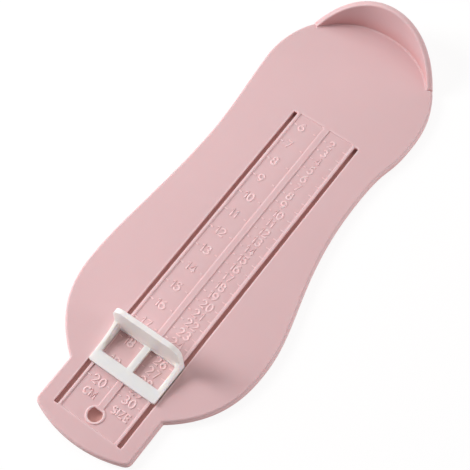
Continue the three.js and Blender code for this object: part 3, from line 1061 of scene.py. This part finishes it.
def shaded_floor_material():
    """The floor under the plate, painted pink and given a faint pink glow: painted light for what
    the pink plastic bounces and lets through, fading out towards the slots' heel end.
    """
    material = bpy.data.materials.new("under_plate_painted_light")
    material.use_nodes = True
    nodes, links = material.node_tree.nodes, material.node_tree.links
    shader = nodes["Principled BSDF"]
    along = nodes.new("ShaderNodeSeparateXYZ")
    links.new(nodes.new("ShaderNodeTexCoord").outputs["Object"], along.inputs["Vector"])
    fade = nodes.new("ShaderNodeMapRange")
    fade.inputs["From Min"].default_value = place((0, UNDER_PLATE_PAINTED_GLOW_FADES[0], 0)).y
    fade.inputs["From Max"].default_value = place((0, UNDER_PLATE_PAINTED_GLOW_FADES[1], 0)).y
    links.new(along.outputs["Y"], fade.inputs["Value"])
    links.new(fade.outputs["Result"], shader.inputs["Emission Strength"])
    shader.inputs["Base Color"].default_value = UNDER_PLATE_PAINTED_PINK
    shader.inputs["Roughness"].default_value = 0.9
    shader.inputs["Emission Color"].default_value = UNDER_PLATE_PAINTED_GLOW
    return material


def flat_object(name, points, z):
    bm = bmesh.new()
    bm.faces.new([bm.verts.new((point.x, point.y, z)) for point in points])
    mesh = bpy.data.meshes.new(name)
    bm.to_mesh(mesh)
    bm.free()
    return add_object(name, mesh)


def build_stage():
    half = FLOOR_SIZE / 2
    corners = [(-half, -half), (half, -half), (half, half), (-half, half)]
    floor = flat_object("floor", [Vector(corner) for corner in corners], 0)
    give(floor, floor_material())
    outline = sole_outline()
    under = []
    for point, move in zip(outline, mitres(outline)):
        x, y = point - move * SHADED_FLOOR_INSET
        under.append(place((x, y, 0)).xy)
    shaded = flat_object("floor_under_plate", under, SHADED_FLOOR_HEIGHT * MILLIMETRE)
    give(shaded, shaded_floor_material())


def build_world():
    world = bpy.data.worlds.new("studio")
    world.use_nodes = True
    bpy.context.scene.world = world
    nodes, links = world.node_tree.nodes, world.node_tree.links
    background = nodes["Background"]
    background.inputs["Color"].default_value = SKY_COLOUR
    background.inputs["Strength"].default_value = SKY_STRENGTH
    backdrop = nodes.new("ShaderNodeBackground")
    backdrop.inputs["Color"].default_value = (1, 1, 1, 1)
    choice = nodes.new("ShaderNodeMixShader")
    links.new(camera_or_mirror(nodes, links), choice.inputs["Fac"])
    links.new(background.outputs["Background"], choice.inputs[1])
    links.new(backdrop.outputs["Background"], choice.inputs[2])
    links.new(choice.outputs["Shader"], nodes["World Output"].inputs["Surface"])


def direction(azimuth, elevation):
    level = math.cos(elevation)
    return Vector((level * math.cos(azimuth), level * math.sin(azimuth), math.sin(elevation)))


def build_soft_light(name, setup):
    light = bpy.data.lights.new(name, "AREA")
    light.shape = "ELLIPSE"
    light.size, light.size_y = setup["size"]
    light.energy = setup["power"]
    obj = bpy.data.objects.new(name, light)
    bpy.context.scene.collection.objects.link(obj)
    towards = direction(math.radians(setup["azimuth"]), math.radians(setup["elevation"]))
    obj.rotation_euler = towards.to_track_quat("Z", "Y").to_euler()
    obj.location = towards * setup["distance"]
    obj.visible_glossy = setup["glossy"]


def build_camera():
    camera = bpy.data.cameras.new("camera")
    camera.lens = CAMERA_LENS
    camera.sensor_width = 36
    camera.clip_start = 0.01
    camera.clip_end = 20
    obj = bpy.data.objects.new("camera", camera)
    bpy.context.scene.collection.objects.link(obj)
    backwards = direction(CAMERA_AZIMUTH, CAMERA_ELEVATION)
    right = Vector((0, 0, 1)).cross(backwards).normalized()
    up = backwards.cross(right)
    turned_right = right * math.cos(CAMERA_ROLL) - up * math.sin(CAMERA_ROLL)
    turned_up = right * math.sin(CAMERA_ROLL) + up * math.cos(CAMERA_ROLL)
    rotation = Matrix((turned_right, turned_up, backwards)).transposed()
    obj.matrix_world = Matrix.Translation(place(CAMERA_AT)) @ rotation.to_4x4()
    bpy.context.scene.camera = obj


# Assembly

pink_plastic = moulded_plastic(
    "pink_plastic", PINK, PINK_PAINTED_SHADE_AND_HIGHLIGHT, PINK_GLOW,
    shade_change=0.012, roughness=0.42, grain_height=0.02,
)
# A lighter copy of the plate's pink for the figures and marks: a painted highlight
figure_pink_painted_lighter = moulded_plastic(
    "figure_pink_painted_lighter", FIGURE_PINK_PAINTED_LIGHTER, FIGURE_PAINTED_SHADE_AND_HIGHLIGHT, FIGURE_GLOW,
    shade_change=0.012, roughness=0.36, grain_height=0.01,
)
white_plastic = moulded_plastic(
    "white_plastic", WHITE, WHITE_PAINTED_LIGHT, WHITE_GLOW,
    shade_change=0.01, roughness=0.38, grain_height=0.015,
)

plate = foot_plate()
give(plate, pink_plastic)
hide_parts("foot_plate")
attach(plate, "plate")

for piece in (centimetre_figures(), size_figures(), scale_marks()):
    give(piece, figure_pink_painted_lighter)
    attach(piece, "plate")

slider = toe_stop()
give(slider, white_plastic)
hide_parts("toe_stop_slider")
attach(slider, "slider")

give(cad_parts["slider_keeper"], white_plastic)

build_stage()
build_world()
for name, setup in LIGHTS.items():
    build_soft_light(name, setup)
build_camera()

bpy.context.scene.view_settings.view_transform = "Standard"
